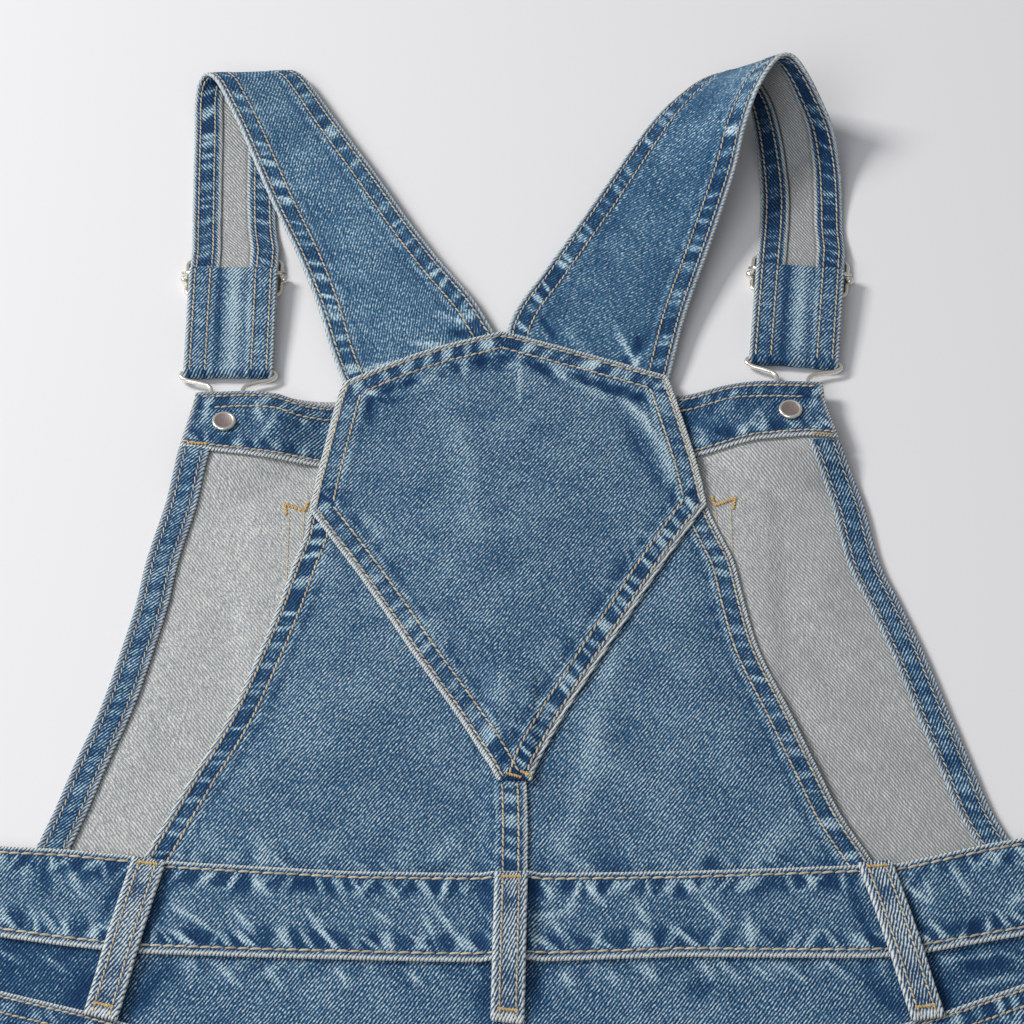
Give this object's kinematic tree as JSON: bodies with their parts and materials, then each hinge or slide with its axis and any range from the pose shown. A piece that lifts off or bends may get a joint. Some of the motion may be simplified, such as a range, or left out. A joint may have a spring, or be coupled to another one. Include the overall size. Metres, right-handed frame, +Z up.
{
  "type": "overall dress",
  "caption": "Washed denim overall dress laid face down, with a pointed back yoke, looped straps on wire buckles and a plain flared skirt.",
  "frame": {"origin": "centre of the bounding box in plan, on the surface that the dress lies on", "axes": "+X to the right of the dress as it lies face down, +Y from the hem to the straps, +Z up out of its back"},
  "size_m": [0.56, 0.9259, 0.0426],
  "materials": {
    "denim": "stone-washed blue cotton twill with pale worn edges",
    "denim_light": "worn pale blue cotton twill of the belt loops",
    "denim_inside": "grey weft side of the twill",
    "nickel": "polished nickel-plated wire",
    "brushed_nickel": "brushed nickel with a bright rim",
    "topstitch": "tan polyester-core sewing thread"
  },
  "bodies": {
    "root": {"front_bib": "denim_inside", "bib_top_band": "denim", "bib_hem_left": "denim", "bib_hem_right": "denim", "chest_pocket": "denim", "back_left": "denim", "back_right": "denim", "back_yoke": "denim", "strap_left": "denim", "strap_right": "denim", "waistband_front": "denim", "waistband_back": "denim", "belt_loop_left": "denim_light", "belt_loop_centre": "denim_light", "belt_loop_right": "denim_light", "skirt_front": "denim", "skirt_yoke": "denim", "skirt_back": "denim", "buckle_left": "nickel", "buckle_right": "nickel", "slide_left": "nickel", "slide_right": "nickel", "bib_button_left": "brushed_nickel", "bib_button_right": "brushed_nickel", "button_tack_left": "brushed_nickel", "button_tack_right": "brushed_nickel"}
  },
  "joints": []
}
